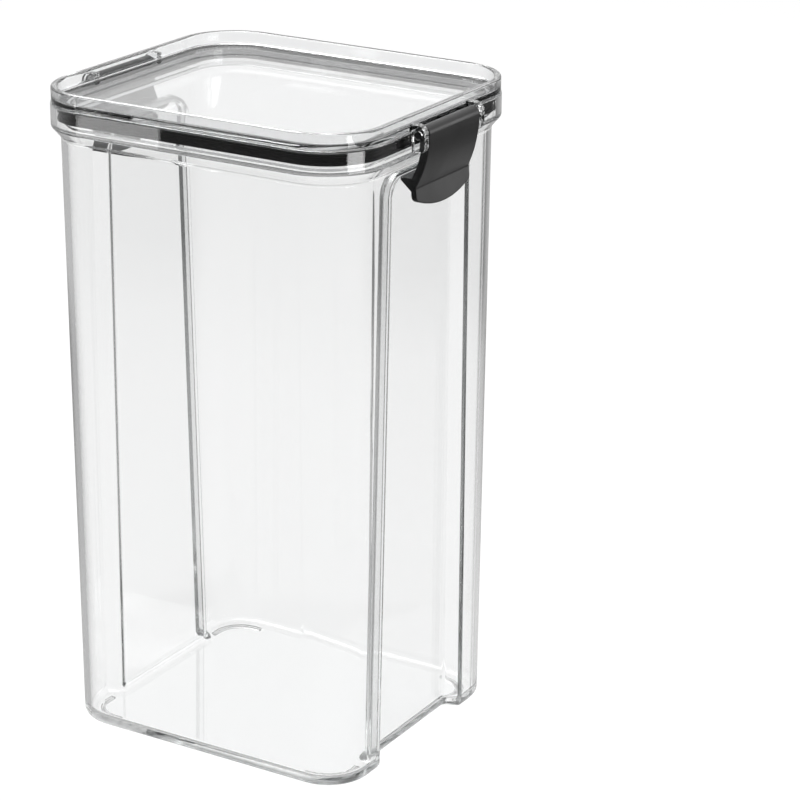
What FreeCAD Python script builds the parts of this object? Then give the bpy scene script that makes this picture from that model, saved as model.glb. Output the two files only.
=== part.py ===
import FreeCAD, Part
import math
import os

# Airtight storage container: clear jar, clear lid with a black seal, two black side latches.
# Millimetres, +Z up. The origin lies under the middle of the jar, on the plane its feet stand on.
# X runs across the two latch sides, Y from front to back.

# Overall sizes
TOTAL_HEIGHT = 220.0
LID_WIDTH = 120.0
LID_DEPTH = 106.8
LID_CORNER = 20.0           # plan radius of the lid outline

# Jar
COLLAR_PROUD = 0.3          # the collar stands this far outside the lid rim
OVERHANG = 2.8              # from the lid outline in to the top of the jar wall
WALL = 2.0
FLOOR = 2.6
WALL_DRAFT = 0.46           # degrees
BASE_ROUND = 3.2
INNER_ROUND = 2.4
COLLAR_FACE = 7.4           # height of the collar's upright outer face
COLLAR_WALL = 1.9
COVE_HEIGHT = 3.7           # slope from the collar in to the jar wall
COVE_ROUND = 2.5            # where the slope meets the jar wall
COLLAR_ROUND = 1.2          # lower edge of the collar
SHELF_ROUND = 1.5           # where the wall widens inside, behind the slope
MOUTH_CORNER = 0.8          # foot of the collar's inner face
EDGE_ROUND = 0.4            # fine outer edges of the clear mouldings
FOOT_HEIGHT = 0.8
FOOT_WIDTH = 2.0
FOOT_INSET = 11.0           # from the lid outline to the middle of the foot bead
FOOT_TAIL = 3.0             # straight end of each corner bead
FOOT_TAPER = 0.2            # each side of the bead draws in over its height
FOOT_ROUND = 0.3

# Grip channel down each latch side
LEDGE_BELOW_COVE = 3.4      # from the foot of the cove down to the channel's top ledge
CHANNEL_WIDTH = 46.5        # between the mouth edges at the ledge
CHANNEL_DEPTH = 5.0         # at the ledge
CHANNEL_FLANK = 20.0        # degrees, slant of the sides in plan
CHANNEL_CORNER = 6.0
CHANNEL_SIDE_DRAFT = 0.95   # degrees, widens the channel towards the base
CHANNEL_FLOOR_DRAFT = 0.10  # degrees more than the wall, deepens it towards the base
CHANNEL_ROUND = 1.2
MOUTH_ROUND = 0.8

# Lid
RIM_HEIGHT = 5.0
RIM_WALL = 2.2
RIM_ROUND = 0.7
PARTING_GAP = 0.4           # between the lid rim and the top of the collar
PANEL_RISE = 0.7            # panel top above the bottom of the rim
PANEL = 2.1
PLUG_GAP = 0.3              # between the lid flange and the inside of the collar
PLUG_WALL = 1.8
PLUG_LIP = 1.0
PLUG_LIP_HEIGHT = 1.2
PLUG_TAIL = 1.2             # plug wall below the lip
PLUG_ROUND = 0.5
LIP_ROUND = 0.3             # plug lip and flange edges
TRAY_ROUND = 1.2            # where the panel meets the rim

# Seal ring in the plug groove
SEAL_WIDTH = 2.8
SEAL_HEIGHT = 3.8
SEAL_GAP = 0.25             # between the seal lips and the inside of the collar
SEAL_LIP = 0.9              # height of each of the two lips
SEAL_LIP_REACH = 0.8
SEAL_ROUND = 0.3

# Latches and the ears that carry them
LATCH_WIDTH = 31.2          # at the barrel
PIVOT_DROP = 0.7            # trunnion axis below the bottom of the rim
BARREL_RADIUS = 2.4
BARREL_GAP = 0.3            # between the barrel and the collar
TRUNNION_RADIUS = 1.3
TRUNNION_FIT = 0.06         # radial
TRUNNION_SHORT = 0.3        # trunnion end inside the ear's outer face
SIDE_GAP = 0.3              # between the latch and each ear
EAR_THICK = 2.6
EAR_ABOVE = 3.3             # ear above the trunnion axis
EAR_BELOW = 5.7
EAR_BEYOND = 2.5            # ear outside the trunnion axis
EAR_GAP = 0.4               # between the ear and the collar
EAR_TOP_ROUND = 3.0
EAR_LOW_ROUND = 2.2
EAR_HEEL_ROUND = 0.8        # lower edge beside the collar
ARM_THICK = 2.75
CREASE_DROP = 17.4          # from the trunnion axis down to the crease above the tab
CREASE_IN = 4.35            # crease inside the barrel's outermost line
CREASE_ROUND = 1.5
TAB_LENGTH = 7.5            # from the crease to the tab's lowest point
TAB_KICK = 1.1              # outward flare of the tab over its length
TAB_THICK = 1.9
TAB_FLARE = 1.1             # extra half width at the tab's corners
TAB_BOW = 3.5               # rise of the tab's lower edge from middle to side
TAB_CORNER = 1.8
SHOULDER_DROP = 2.0         # the latch begins to flare this far below the ears
SHOULDER_ROUND = 40.0
HOOK_GAP = 0.3              # between the hook and the channel ledge
HOOK_REACH = 3.4            # hook inside the jar wall at the middle of the latch
HOOK_BOW = 1.6              # the hook's edge draws back this far at the latch's two ends
HOOK_EDGE = 1.0             # thickness of the hook's edge
HOOK_SLOPE = 0.85           # rise of the hook's underside for each millimetre it reaches in
LATCH_ROUND = 0.4

# Levels that follow from the sizes
RIM_BOTTOM = TOTAL_HEIGHT - RIM_HEIGHT
PANEL_TOP = RIM_BOTTOM + PANEL_RISE
PANEL_BOTTOM = PANEL_TOP - PANEL
COLLAR_TOP = RIM_BOTTOM - PARTING_GAP
COVE_TOP = COLLAR_TOP - COLLAR_FACE
COVE_FOOT = COVE_TOP - COVE_HEIGHT
LEDGE = COVE_FOOT - LEDGE_BELOW_COVE
BASE = FOOT_HEIGHT
FLOOR_TOP = BASE + FLOOR
WALL_SLOPE = math.tan(math.radians(WALL_DRAFT))
HALF_WIDTH = LID_WIDTH / 2
HALF_DEPTH = LID_DEPTH / 2
COLLAR_INSIDE = COLLAR_WALL - COLLAR_PROUD    # inset of the collar's inner face
SEAL_OUT = COLLAR_INSIDE + SEAL_GAP           # inset of the seal lips
GROOVE = SEAL_OUT + SEAL_WIDTH                # inset of the plug's outer face
PIVOT_X = HALF_WIDTH + COLLAR_PROUD + BARREL_GAP + BARREL_RADIUS
PIVOT_Z = RIM_BOTTOM - PIVOT_DROP
EAR_INNER = LATCH_WIDTH / 2 + SIDE_GAP
EAR_OUTER = EAR_INNER + EAR_THICK


def wall_inset(z):
    """Inset of the jar's outer wall from the lid outline at height z."""
    return OVERHANG + (COVE_FOOT - z) * WALL_SLOPE


def rounded_wire(corners, place):
    """Closed wire through (a, b, radius) corners; place turns (a, b) into a point in space."""
    points = [FreeCAD.Vector(a, b, 0) for a, b, radius in corners]
    count = len(points)
    ends = []
    for i, (a, b, radius) in enumerate(corners):
        here = points[i]
        back = (points[i - 1] - here).normalize()
        ahead = (points[(i + 1) % count] - here).normalize()
        if radius == 0:
            ends.append((here, here, here))
            continue
        half = back.getAngle(ahead) / 2
        reach = radius / math.tan(half)
        middle = (back + ahead).normalize() * (radius / math.sin(half) - radius)
        ends.append((here + back * reach, here + middle, here + ahead * reach))
    edges = []
    for i, (start, middle, end) in enumerate(ends):
        if start != end:
            edges.append(Part.Arc(place(start), place(middle), place(end)).toShape())
        following = ends[(i + 1) % count][0]
        if end.distanceToPoint(following) > 1e-6:
            edges.append(Part.makeLine(place(end), place(following)))
    return Part.Wire(Part.__sortEdges__(edges))


def face_xz(corners):
    """Face in the plane y = 0."""
    return Part.Face(rounded_wire(corners, lambda p: FreeCAD.Vector(p.x, 0, p.y)))


def face_yz(corners):
    """Face in the plane x = 0."""
    return Part.Face(rounded_wire(corners, lambda p: FreeCAD.Vector(0, p.x, p.y)))


def along_y(face, y_from, y_to):
    """Prism of an XZ face between two values of y."""
    moved = face.translated(FreeCAD.Vector(0, y_from, 0))
    return moved.extrude(FreeCAD.Vector(0, y_to - y_from, 0))


def round_the_plan(corners, core=None):
    """Carry a section of (inset, z, radius) corners round the lid outline's sides and corners.

    The section reaches in to the corner axes where core gives the z range of a filled middle.
    """
    face = face_xz([(LID_CORNER - inset, z, radius) for inset, z, radius in corners])
    axes = (HALF_WIDTH - LID_CORNER, HALF_DEPTH - LID_CORNER)
    upright = FreeCAD.Vector(0, 0, 1)
    solids = []
    for side in range(4):
        reach, run = axes[side % 2], axes[(side + 1) % 2]
        start = face.translated(FreeCAD.Vector(reach, -run, 0))
        straight = start.extrude(FreeCAD.Vector(0, 2 * run, 0))
        end = face.translated(FreeCAD.Vector(reach, run, 0))
        corner = end.revolve(FreeCAD.Vector(reach, run, 0), upright, 90)
        for solid in (straight, corner):
            solid.rotate(FreeCAD.Vector(), upright, 90 * side)
            solids.append(solid)
    if core:
        low, high = core
        middle = FreeCAD.Vector(-axes[0], -axes[1], low)
        solids.append(Part.makeBox(2 * axes[0], 2 * axes[1], high - low, middle))
    return solids[0].multiFuse(solids[1:]).removeSplitter()


def jar_outside():
    """Filled outer form: drafted wall, cove and collar, over a base edge still sharp."""
    section = [
        (LID_CORNER, BASE, 0),
        (wall_inset(BASE), BASE, 0),
        (OVERHANG, COVE_FOOT, COVE_ROUND),
        (-COLLAR_PROUD, COVE_TOP, COLLAR_ROUND),
        (-COLLAR_PROUD, COLLAR_TOP, EDGE_ROUND),
        (LID_CORNER, COLLAR_TOP, 0),
    ]
    return round_the_plan(section, (BASE, COLLAR_TOP))


def jar_inside():
    """Filled inner form: drafted wall and the wider mouth behind the collar."""
    steepness = COVE_HEIGHT / (OVERHANG + COLLAR_PROUD)
    shelf = COVE_FOOT + WALL * (math.hypot(1, steepness) - steepness)
    rise = (OVERHANG + WALL - COLLAR_INSIDE) * steepness
    above = COLLAR_TOP + 1
    section = [
        (LID_CORNER, FLOOR_TOP, 0),
        (wall_inset(FLOOR_TOP) + WALL, FLOOR_TOP, 0),
        (wall_inset(shelf) + WALL, shelf, SHELF_ROUND),
        (COLLAR_INSIDE, shelf + rise, MOUTH_CORNER),
        (COLLAR_INSIDE, above, 0),
        (LID_CORNER, above, 0),
    ]
    return round_the_plan(section, (FLOOR_TOP, above))


def channel_form(side, grow):
    """Form of a grip channel, grown by a wall thickness for the bulge it makes inside the jar."""
    top = LEDGE + grow
    below = -1.0
    outside = HALF_WIDTH + 5
    widen = math.tan(math.radians(CHANNEL_SIDE_DRAFT))
    deepen = math.tan(math.radians(WALL_DRAFT + CHANNEL_FLOOR_DRAFT))
    flank = math.radians(CHANNEL_FLANK)

    def plan(z):
        """Corners of the channel's plan at height z: narrow at the floor, wide outside the wall."""
        wall = HALF_WIDTH - wall_inset(z)
        floor = HALF_WIDTH - wall_inset(LEDGE) - CHANNEL_DEPTH - (LEDGE - z) * deepen - grow
        mouth = CHANNEL_WIDTH / 2 + (LEDGE - z) * widen + grow / math.cos(flank)
        narrow = mouth - (wall - floor) * math.tan(flank)
        wide = mouth + (outside - wall) * math.tan(flank)
        corners = [(floor, -narrow), (outside, -wide), (outside, wide), (floor, narrow)]
        return [FreeCAD.Vector(x, y, z) for x, y in corners]

    low, high = plan(below), plan(top)
    loops = [low[::-1], high] + [[low[i - 1], low[i], high[i], high[i - 1]] for i in range(4)]
    faces = [Part.Face(Part.makePolygon(loop + loop[:1])) for loop in loops]
    form = Part.makeSolid(Part.makeShell(faces))
    shoulders = [edge for edge in form.Edges
                 if edge.BoundBox.ZMin > top - 0.01 and edge.BoundBox.XLength > 1]
    form = form.makeFillet(CHANNEL_CORNER + grow, shoulders)
    floor = min(form.Faces, key=lambda face: face.CenterOfMass.x)
    rounded = [edge for edge in floor.Edges if edge.BoundBox.ZMax > below + 0.5]
    form = form.makeFillet(CHANNEL_ROUND + grow, rounded)
    if side < 0:
        form = form.mirror(FreeCAD.Vector(), FreeCAD.Vector(1, 0, 0))
    return form


def foot_beads():
    """Four corner beads under the base, each a quarter turn with two short straight ends."""
    top = BASE + FLOOR / 4
    half = FOOT_WIDTH / 2
    middle = LID_CORNER - FOOT_INSET
    face = face_xz([
        (middle - half, top, 0),
        (middle - half + FOOT_TAPER, 0, FOOT_ROUND),
        (middle + half - FOOT_TAPER, 0, FOOT_ROUND),
        (middle + half, top, 0),
    ])
    upright = FreeCAD.Vector(0, 0, 1)
    beads = []
    for x_side in (-1, 1):
        for y_side in (-1, 1):
            bend = face.revolve(FreeCAD.Vector(), upright, 90)
            tail = face.extrude(FreeCAD.Vector(0, -FOOT_TAIL, 0))
            other = tail.mirror(FreeCAD.Vector(), FreeCAD.Vector(1, -1, 0))
            bead = bend.fuse([tail, other])
            if x_side < 0:
                bead = bead.mirror(FreeCAD.Vector(), FreeCAD.Vector(1, 0, 0))
            if y_side < 0:
                bead = bead.mirror(FreeCAD.Vector(), FreeCAD.Vector(0, 1, 0))
            bead.translate(FreeCAD.Vector(
                x_side * (HALF_WIDTH - LID_CORNER), y_side * (HALF_DEPTH - LID_CORNER), 0))
            beads.append(bead)
    return beads


def lies_on_wall(point):
    """Whether a point lies on one of the two flat latch sides, below the ledge."""
    wall = HALF_WIDTH - wall_inset(point.z)
    flat = HALF_DEPTH - LID_CORNER
    return abs(abs(point.x) - wall) < 1e-3 and abs(point.y) < flat - 0.1 and point.z < LEDGE + 0.1


def round_foot(form, level, radius):
    """Round the lowest edge of a form right round, in and out of the channels."""
    edges = [edge for edge in form.Edges if edge.BoundBox.ZMax < level + 0.01]
    return form.makeFillet(radius, edges)


def make_jar():
    """Clear jar with its collar, grip channels and feet."""
    outside = jar_outside()
    inside = jar_inside()
    for side in (-1, 1):
        outside = outside.cut(channel_form(side, 0))
        inside = inside.cut(channel_form(side, WALL))
    outside = round_foot(outside, BASE, BASE_ROUND)
    inside = round_foot(inside, FLOOR_TOP, INNER_ROUND)
    mouths = [edge for edge in outside.Edges
              if all(lies_on_wall(point) for point in edge.discretize(5))]
    outside = outside.makeFillet(MOUTH_ROUND, mouths)
    return outside.cut(inside).fuse(foot_beads()).removeSplitter()


def ear_plate(side, end):
    """One clear ear: hangs from the rim beside the latch and carries its trunnion."""
    root = HALF_WIDTH - RIM_WALL / 2
    heel = HALF_WIDTH + COLLAR_PROUD + EAR_GAP
    face = face_xz([
        (root, RIM_BOTTOM, 0),
        (heel, RIM_BOTTOM, 0),
        (heel, PIVOT_Z - EAR_BELOW, EAR_HEEL_ROUND),
        (PIVOT_X + EAR_BEYOND, PIVOT_Z - EAR_BELOW, EAR_LOW_ROUND),
        (PIVOT_X + EAR_BEYOND, PIVOT_Z + EAR_ABOVE, EAR_TOP_ROUND),
        (root, PIVOT_Z + EAR_ABOVE, 0),
    ])
    ear = along_y(face, EAR_INNER, EAR_OUTER)
    free = [edge for edge in ear.Edges if edge.BoundBox.XMax > HALF_WIDTH + 0.1
            and edge.BoundBox.YLength < 0.1 and edge.CenterOfMass.z != RIM_BOTTOM]
    ear = ear.makeFillet(EDGE_ROUND, free)
    bore = Part.makeCylinder(
        TRUNNION_RADIUS + TRUNNION_FIT, EAR_THICK + 2,
        FreeCAD.Vector(PIVOT_X, EAR_INNER - 1, PIVOT_Z), FreeCAD.Vector(0, 1, 0))
    ear = ear.cut(bore)
    if side < 0:
        ear = ear.mirror(FreeCAD.Vector(), FreeCAD.Vector(1, 0, 0))
    if end < 0:
        ear = ear.mirror(FreeCAD.Vector(), FreeCAD.Vector(0, 1, 0))
    return ear


def make_lid():
    """Clear lid: rim, sunken panel, grooved plug and four ears."""
    lip_top = PANEL_BOTTOM - SEAL_HEIGHT
    lip_bottom = lip_top - PLUG_LIP_HEIGHT
    plug_end = lip_bottom - PLUG_TAIL
    section = [
        (LID_CORNER, PANEL_BOTTOM, 0),
        (GROOVE + PLUG_WALL, PANEL_BOTTOM, PLUG_ROUND),
        (GROOVE + PLUG_WALL, plug_end, PLUG_ROUND),
        (GROOVE, plug_end, PLUG_ROUND),
        (GROOVE - PLUG_LIP, lip_bottom, LIP_ROUND),
        (GROOVE - PLUG_LIP, lip_top, LIP_ROUND),
        (GROOVE, lip_top, 0),
        (GROOVE, PANEL_BOTTOM, 0),
        (COLLAR_INSIDE + PLUG_GAP, PANEL_BOTTOM, LIP_ROUND),
        (COLLAR_INSIDE + PLUG_GAP, RIM_BOTTOM, 0),
        (0, RIM_BOTTOM, EDGE_ROUND),
        (0, TOTAL_HEIGHT, RIM_ROUND),
        (RIM_WALL, TOTAL_HEIGHT, RIM_ROUND),
        (RIM_WALL, PANEL_TOP, TRAY_ROUND),
        (LID_CORNER, PANEL_TOP, 0),
    ]
    body = round_the_plan(section, (PANEL_BOTTOM, PANEL_TOP))
    ears = [ear_plate(side, end) for side in (-1, 1) for end in (-1, 1)]
    return body.fuse(ears).removeSplitter()


def make_seal():
    """Silicone ring with two lips, seated in the plug groove under the panel."""
    top = PANEL_BOTTOM
    bottom = PANEL_BOTTOM - SEAL_HEIGHT
    back = SEAL_OUT + SEAL_LIP_REACH
    section = [
        (GROOVE, bottom, 0),
        (SEAL_OUT, bottom, SEAL_ROUND),
        (SEAL_OUT, bottom + SEAL_LIP, SEAL_ROUND),
        (back, bottom + SEAL_LIP + SEAL_ROUND, SEAL_ROUND),
        (back, top - SEAL_LIP - SEAL_ROUND, SEAL_ROUND),
        (SEAL_OUT, top - SEAL_LIP, SEAL_ROUND),
        (SEAL_OUT, top, SEAL_ROUND),
        (GROOVE, top, 0),
    ]
    return round_the_plan(section)


def latch_profile():
    """Radius of the latch's arched face, and a point on an arc about the same centre."""
    arch = (CREASE_DROP ** 2 + CREASE_IN ** 2) / (2 * CREASE_IN)
    centre_x = PIVOT_X + BARREL_RADIUS - arch

    def on_arch(radius, drop):
        return FreeCAD.Vector(centre_x + math.sqrt(radius ** 2 - drop ** 2), 0, PIVOT_Z - drop)

    return arch, on_arch


def latch_arm():
    """Arched arm from the barrel to the crease, then the tab that flares out below it."""
    arch, on_arch = latch_profile()
    crease = on_arch(arch, CREASE_DROP)
    back = arch - ARM_THICK
    tab_tip = crease + FreeCAD.Vector(TAB_KICK, 0, -TAB_LENGTH)
    tab_back = tab_tip - FreeCAD.Vector(TAB_THICK, 0, 0)
    arm_back = on_arch(back, PIVOT_Z - LEDGE + HOOK_GAP + HOOK_EDGE)
    outline = [
        Part.Arc(on_arch(arch, 0), on_arch(arch, CREASE_DROP / 2), crease).toShape(),
        Part.makeLine(crease, tab_tip),
        Part.makeLine(tab_tip, tab_back),
        Part.makeLine(tab_back, arm_back),
        Part.Arc(arm_back, on_arch(back, CREASE_DROP / 2), on_arch(back, 0)).toShape(),
        Part.makeLine(on_arch(back, 0), on_arch(arch, 0)),
    ]
    face = Part.Face(Part.Wire(Part.__sortEdges__(outline)))
    arm = along_y(face, -LATCH_WIDTH, LATCH_WIDTH)
    creases = [edge for edge in arm.Edges if edge.BoundBox.YLength > LATCH_WIDTH
               and edge.CenterOfMass.distanceToPoint(crease) < 1e-3]
    return arm.makeFillet(CREASE_ROUND, creases)


def latch_hook():
    """Lip behind the arm with a bowed edge, furthest in at the middle of the latch."""
    arch, on_arch = latch_profile()
    half = LATCH_WIDTH / 2
    tip = HALF_WIDTH - wall_inset(LEDGE) - HOOK_REACH
    bow = (half ** 2 + HOOK_BOW ** 2) / (2 * HOOK_BOW)
    top = LEDGE - HOOK_GAP
    root = PIVOT_X - tip
    low = top - HOOK_EDGE - HOOK_SLOPE * root
    face = face_xz([
        (tip, top, 0),
        (tip, top - HOOK_EDGE, 0),
        (tip + root, low, 0),
        (tip + root, top, 0),
    ])
    axis = FreeCAD.Vector(tip + bow, 0, 0)
    turn = 2 * math.degrees(math.asin(min(1, 1.2 * half / bow)))
    lip = face.revolve(axis, FreeCAD.Vector(0, 0, 1), turn)
    lip.rotate(axis, FreeCAD.Vector(0, 0, 1), -turn / 2)
    behind = on_arch(arch - ARM_THICK / 2, CREASE_DROP)
    above = on_arch(arch - ARM_THICK / 2, PIVOT_Z - top)
    tab_end = behind + FreeCAD.Vector(TAB_KICK / 2, 0, -TAB_LENGTH)
    keep = face_xz([
        (tip - 1, low, 0),
        (tab_end.x, low, 0),
        (behind.x, behind.z, 0),
        (above.x, above.z + 1, 0),
        (tip - 1, above.z + 1, 0),
    ])
    return lip.common(along_y(keep, -2 * LATCH_WIDTH, 2 * LATCH_WIDTH))


def latch_front():
    """Front outline: upright beside the ears, then flared, with a bowed lower edge on the tab."""
    top = LATCH_WIDTH / 2
    tab = top + TAB_FLARE
    low = PIVOT_Z - CREASE_DROP - TAB_LENGTH
    corner = low + TAB_BOW
    shoulder = PIVOT_Z - EAR_BELOW - SHOULDER_DROP
    above = PIVOT_Z + BARREL_RADIUS + 1
    spread = TAB_FLARE * (shoulder - low) / (shoulder - corner)
    sides = face_yz([
        (-top, above, 0),
        (-top, shoulder, SHOULDER_ROUND),
        (-top - spread, low, 0),
        (top + spread, low, 0),
        (top, shoulder, SHOULDER_ROUND),
        (top, above, 0),
    ])
    bow = (tab ** 2 + TAB_BOW ** 2) / (2 * TAB_BOW)
    across = FreeCAD.Vector(1, 0, 0)
    lower_edge = Part.makeCylinder(bow, 2 * LID_WIDTH, FreeCAD.Vector(0, 0, low + bow), across)
    form = sides.extrude(across * (2 * LID_WIDTH)).common(lower_edge)
    corners = [edge for edge in form.Edges if edge.BoundBox.XLength > LID_WIDTH
               and abs(edge.CenterOfMass.z - corner) < 0.01]
    return form.makeFillet(TAB_CORNER, corners)


def make_latch(side):
    """Black latch with its barrel, hook, finger tab and trunnions."""
    cross = FreeCAD.Vector(0, 1, 0)
    barrel = Part.makeCylinder(
        BARREL_RADIUS, 2 * LATCH_WIDTH, FreeCAD.Vector(PIVOT_X, -LATCH_WIDTH, PIVOT_Z), cross)
    body = latch_arm().fuse([barrel, latch_hook()]).removeSplitter()
    body = body.common(latch_front()).removeSplitter()
    body = body.makeFillet(LATCH_ROUND, body.Edges)
    reach = EAR_OUTER - TRUNNION_SHORT
    trunnions = Part.makeCylinder(
        TRUNNION_RADIUS, 2 * reach, FreeCAD.Vector(PIVOT_X, -reach, PIVOT_Z), cross)
    latch = body.fuse(trunnions)
    if side < 0:
        latch = latch.mirror(FreeCAD.Vector(), FreeCAD.Vector(1, 0, 0))
    return latch


def main():
    os.makedirs("parts", exist_ok=True)
    nodes = {
        "jar": make_jar(),
        "lid": make_lid(),
        "lid_seal": make_seal(),
        "latch_left": make_latch(-1),
        "latch_right": make_latch(1),
    }
    for name, shape in nodes.items():
        print(name, shape.isValid(), len(shape.Solids), round(shape.Volume))
        shape.exportStep("parts/" + name + ".step")


main()
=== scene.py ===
import math

import bpy
from mathutils import Matrix, Vector

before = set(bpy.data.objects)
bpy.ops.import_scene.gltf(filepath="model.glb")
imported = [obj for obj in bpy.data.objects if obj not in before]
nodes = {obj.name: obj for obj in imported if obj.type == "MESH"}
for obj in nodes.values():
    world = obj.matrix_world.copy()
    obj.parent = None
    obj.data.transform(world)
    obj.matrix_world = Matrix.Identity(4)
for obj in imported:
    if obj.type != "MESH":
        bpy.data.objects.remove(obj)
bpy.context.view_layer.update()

scene = bpy.context.scene

# Clear plastic: nearly smooth, with a trace of haze and a slow unevenness from moulding.
# A band is the (low, high) of a noise that is used, a bump is (strength, distance).
JAR_TINT = (0.971, 0.973, 0.973, 1)
LID_TINT = (0.9, 0.904, 0.907, 1)
CLEAR_IOR = 1.54
CLEAR_SHADOW = (0.93, 0.94, 0.94, 1)
CLEAR_DEPTH_TINT = (0.84, 0.85, 0.85, 1)
CLEAR_DENSITY = 12.0
HAZE_SCALE, HAZE_DETAIL = 90, 4
HAZE_BAND, HAZE_ROUGHNESS = (0.35, 0.75), (0.0, 0.02)
FLOW_SCALE, FLOW_DETAIL, FLOW_NOISE_ROUGHNESS = 22, 2, 0.4
FLOW_BUMP = (0.02, 0.001)

# Black mouldings: a soft change of tone, which also sets the gloss, and a fine grain
TONE_DETAIL, TONE_BAND = 3, (0.3, 0.7)
NOISE_ROUGHNESS = 0.55

# Camera: angles in degrees, lens and sensor in millimetres, place in metres
CAMERA_AZIMUTH, CAMERA_ELEVATION, CAMERA_ROLL = 30.945, 20.08, 0.423
CAMERA_LENS, CAMERA_SENSOR = 129.56, 36.0
CAMERA_PLACE = (0.49525, -0.74885, 0.43909)
CAMERA_CLIP = 0.01

# Floor: directions as seen from the object's middle, distances in metres, and brightness
FLOOR_REACH = 6.0
FLOOR_COLOUR = (0.12, 0.12, 0.12, 1)
FLOOR_SEEN = 0.91
NEAR_BRIGHT = ((0.643, 0.766, 0), (0.4, 0.9), (0.4, 0.62))
NEAR_DARK = ((-0.616, 0.788, 0), (0.86, 0.97), (1.0, 0.03))
FAR_BRIGHT = ((-0.891, 0.454, 0), (0.1, 0.6), (0.02, 0.35))
NEAR_FADE = ((0.12, 0.45), (0.85, 0.6))
NEAR_TO_FAR = ((0.4, 0.53), (0.0, 1.0))

# World: directions and brightness
SKY_SEEN = 1.0
STUDIO = (Vector((-0.45, 0.45, 0.77)).normalized(), (-0.1, 0.75), (0.08, 1.0))
BACKDROP = (Vector((-0.2, 0.95, 0.25)).normalized(), (0.5, 0.85), (0.0, 0.35))

# Lamps: place, target and (width, height) in metres, power in watts
LAMPS = {
    "key_softbox": ((-0.35, 0.1, 0.95), (0, 0, 0.1), (0.7, 0.7), 9),
    "low_card": ((-0.656, -0.61, 0.028), (-0.656, 0, 0.028), (0.488, 0.018), 0.07),
    "edge_strip": ((0.634, -0.11, 0.045), (0, -0.11, 0.045), (0.34, 0.03), 0.16),
    "back_softbox": ((0.51, 0.645, 0.24), (0.06, 0, 0.2), (0.4, 0.3), 0.94),
}

# A ray crosses many clear walls, so its path may be long
BOUNCES = 64

# A ray's depth is a whole number, so this parts none from one or more
ANY_DEPTH = 0.5


class Shader:
    """Short calls for wiring a node tree."""

    def __init__(self, tree):
        self.tree = tree
        tree.nodes.clear()

    def add(self, kind, inputs=None, **settings):
        """Make a node. Inputs are outputs to link or constants to set, by socket name or number."""
        node = self.tree.nodes.new(kind)
        for name, value in settings.items():
            setattr(node, name, value)
        for key, value in (inputs or {}).items():
            if isinstance(value, bpy.types.NodeSocket):
                self.tree.links.new(value, node.inputs[key])
            else:
                node.inputs[key].default_value = value
        return node

    def math(self, operation, a, b):
        return self.add("ShaderNodeMath", {0: a, 1: b}, operation=operation).outputs[0]

    def mix(self, data_type, factor, a, b):
        node = self.add("ShaderNodeMix", {"Factor": factor, "A": a, "B": b}, data_type=data_type)
        return node.outputs["Result"]

    def noise(self, coords, scale, detail, roughness=NOISE_ROUGHNESS):
        return self.add("ShaderNodeTexNoise", {
            "Vector": coords, "Scale": scale, "Detail": detail, "Roughness": roughness,
        }).outputs["Fac"]

    def spread(self, value, band, result):
        """Carry a value from one (low, high) range to another, held at the ends."""
        return self.add("ShaderNodeMapRange", {
            "Value": value, "From Min": band[0], "From Max": band[1],
            "To Min": result[0], "To Max": result[1],
        }).outputs["Result"]

    def facing(self, vector, towards, band, result):
        """Spread how far a unit vector points towards a direction."""
        dot = self.add("ShaderNodeVectorMath", {0: vector, 1: towards}, operation="DOT_PRODUCT")
        return self.spread(dot.outputs["Value"], band, result)

    def bump(self, height, strength, distance):
        return self.add("ShaderNodeBump", {
            "Height": height, "Strength": strength, "Distance": distance,
        }).outputs["Normal"]


def new_material(name):
    material = bpy.data.materials.new(name)
    material.use_nodes = True
    return material, Shader(material.node_tree)


def clear_plastic(name, tint):
    material, s = new_material(name)
    coords = s.add("ShaderNodeTexCoord").outputs["Object"]
    haze = s.noise(coords, HAZE_SCALE, HAZE_DETAIL)
    flow = s.noise(coords, FLOW_SCALE, FLOW_DETAIL, FLOW_NOISE_ROUGHNESS)
    bsdf = s.add("ShaderNodeBsdfPrincipled", {
        "Base Color": tint,
        "Transmission Weight": 1.0,
        "IOR": CLEAR_IOR,
        "Roughness": s.spread(haze, HAZE_BAND, HAZE_ROUGHNESS),
        "Normal": s.bump(flow, *FLOW_BUMP),
    })
    path = s.add("ShaderNodeLightPath").outputs
    shadow = s.add("ShaderNodeBsdfTransparent", {"Color": CLEAR_SHADOW})
    surface = s.add("ShaderNodeMixShader", {
        0: path["Is Shadow Ray"], 1: bsdf.outputs[0], 2: shadow.outputs[0]})
    volume = s.add("ShaderNodeVolumeAbsorption", {
        "Color": CLEAR_DEPTH_TINT, "Density": CLEAR_DENSITY})
    s.add("ShaderNodeOutputMaterial", {"Surface": surface.outputs[0], "Volume": volume.outputs[0]})
    return material


def black_moulding(name, ior, specular, shades, tone_scale, roughness, grain, grain_bump):
    """Shades and roughness are (low, high), grain is (scale, detail)."""
    material, s = new_material(name)
    coords = s.add("ShaderNodeTexCoord").outputs["Object"]
    tone = s.noise(coords, tone_scale, TONE_DETAIL)
    bsdf = s.add("ShaderNodeBsdfPrincipled", {
        "Base Color": s.mix("RGBA", tone, *shades),
        "IOR": ior,
        "Specular IOR Level": specular,
        "Roughness": s.spread(tone, TONE_BAND, roughness),
        "Normal": s.bump(s.noise(coords, *grain), *grain_bump),
    })
    s.add("ShaderNodeOutputMaterial", {"Surface": bsdf.outputs[0]})
    return material


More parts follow.
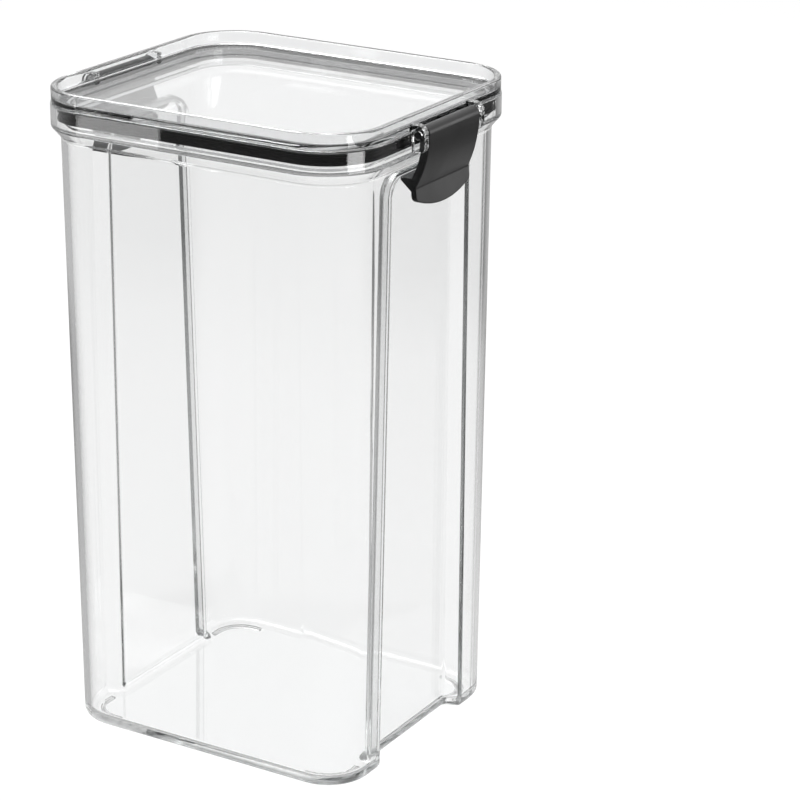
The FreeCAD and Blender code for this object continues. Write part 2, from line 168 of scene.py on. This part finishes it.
matte_silicone = black_moulding(
    "black_silicone_matte", ior=1.41, specular=0.1,
    shades=((0.001, 0.001, 0.0011, 1), (0.003, 0.003, 0.0033, 1)), tone_scale=140,
    roughness=(0.5, 0.62), grain=(3200, 2), grain_bump=(0.2, 0.00003))
satin_plastic = black_moulding(
    "black_plastic_satin", ior=1.5, specular=0.5,
    shades=((0.005, 0.005, 0.0054, 1), (0.008, 0.008, 0.0085, 1)), tone_scale=60,
    roughness=(0.34, 0.44), grain=(2600, 3), grain_bump=(0.25, 0.00004))
for node_name, material in (
        ("jar", clear_plastic("clear_plastic_jar", JAR_TINT)),
        ("lid", clear_plastic("clear_plastic_lid", LID_TINT)),
        ("lid_seal", matte_silicone),
        ("latch_left", satin_plastic),
        ("latch_right", satin_plastic)):
    nodes[node_name].data.materials[0] = material

# Camera at the photograph's viewing angle
azimuth, elevation, roll = map(math.radians, (CAMERA_AZIMUTH, CAMERA_ELEVATION, CAMERA_ROLL))
forward = Vector((-math.sin(azimuth) * math.cos(elevation),
                  math.cos(azimuth) * math.cos(elevation),
                  -math.sin(elevation)))
level = Vector((math.cos(azimuth), math.sin(azimuth), 0))
upward = level.cross(forward)
right = math.cos(roll) * level + math.sin(roll) * upward
up = -math.sin(roll) * level + math.cos(roll) * upward
camera_data = bpy.data.cameras.new("photo_camera")
camera_data.sensor_width = CAMERA_SENSOR
camera_data.lens = CAMERA_LENS
camera_data.clip_start = CAMERA_CLIP
camera = bpy.data.objects.new("photo_camera", camera_data)
scene.collection.objects.link(camera)
turn = Matrix((right, up, -forward)).transposed()
camera.matrix_world = Matrix.Translation(CAMERA_PLACE) @ turn.to_4x4()
scene.camera = camera

# Floor: plain pale sheet, white to the camera and through the clear walls. Mirrored, it is about
# half bright close round the object, but for a dark strip behind it, and further out it is bright
# only at the left and back. Its glow lights no matte surface.
floor_mesh = bpy.data.meshes.new("floor")
floor_mesh.from_pydata(
    [(-FLOOR_REACH, -FLOOR_REACH, 0), (FLOOR_REACH, -FLOOR_REACH, 0),
     (FLOOR_REACH, FLOOR_REACH, 0), (-FLOOR_REACH, FLOOR_REACH, 0)], [], [(0, 1, 2, 3)])
floor = bpy.data.objects.new("floor", floor_mesh)
scene.collection.objects.link(floor)
floor_material, s = new_material("floor_white")
position = s.add("ShaderNodeNewGeometry").outputs["Position"]
way = s.add("ShaderNodeVectorMath", {0: position}, operation="NORMALIZE").outputs[0]
distance = s.add("ShaderNodeVectorMath", {0: position}, operation="LENGTH").outputs["Value"]
near = s.math("MULTIPLY", s.facing(way, *NEAR_BRIGHT), s.facing(way, *NEAR_DARK))
near = s.math("MULTIPLY", near, s.spread(distance, *NEAR_FADE))
mirrored = s.mix("FLOAT", s.spread(distance, *NEAR_TO_FAR), near, s.facing(way, *FAR_BRIGHT))
path = s.add("ShaderNodeLightPath").outputs
seen = s.math("MAXIMUM", path["Is Camera Ray"], path["Is Transmission Ray"])
shown = s.mix("FLOAT", s.math("GREATER_THAN", path["Glossy Depth"], ANY_DEPTH),
              s.math("MULTIPLY", seen, FLOOR_SEEN), mirrored)
unscattered = s.math("SUBTRACT", 1.0, s.math("GREATER_THAN", path["Diffuse Depth"], ANY_DEPTH))
glow = s.add("ShaderNodeEmission", {"Strength": s.math("MULTIPLY", shown, unscattered)})
diffuse = s.add("ShaderNodeBsdfDiffuse", {"Color": FLOOR_COLOUR})
both = s.add("ShaderNodeAddShader", {0: diffuse.outputs[0], 1: glow.outputs[0]})
s.add("ShaderNodeOutputMaterial", {"Surface": both.outputs[0]})
floor_mesh.materials.append(floor_material)

# World: white to the camera, else a studio that is bright above, behind and left and dims towards
# the camera, with a pale backdrop that shows only mirrored
world = bpy.data.worlds.new("studio")
scene.world = world
world.use_nodes = True
s = Shader(world.node_tree)
direction = s.add("ShaderNodeTexCoord").outputs["Generated"]
path = s.add("ShaderNodeLightPath").outputs
backdrop = s.math("MULTIPLY", s.facing(direction, *BACKDROP),
                  s.math("GREATER_THAN", path["Glossy Depth"], ANY_DEPTH))
studio = s.math("ADD", s.facing(direction, *STUDIO), backdrop)
sky = s.add("ShaderNodeBackground", {
    "Strength": s.mix("FLOAT", path["Is Camera Ray"], studio, SKY_SEEN)})
s.add("ShaderNodeOutputWorld", {"Surface": sky.outputs[0]})

# Lamps, which the camera doesn't see
for name, (place, target, size, power) in LAMPS.items():
    light = bpy.data.lights.new(name, "AREA")
    light.shape = "RECTANGLE"
    light.size, light.size_y = size
    light.energy = power
    lamp = bpy.data.objects.new(name, light)
    scene.collection.objects.link(lamp)
    aim = (Vector(target) - Vector(place)).to_track_quat("-Z", "Y")
    lamp.matrix_world = Matrix.Translation(place) @ aim.to_matrix().to_4x4()
    lamp.visible_camera = False

scene.view_settings.view_transform = "Standard"
scene.cycles.max_bounces = BOUNCES
scene.cycles.transmission_bounces = BOUNCES
scene.cycles.glossy_bounces = BOUNCES
scene.cycles.transparent_max_bounces = BOUNCES
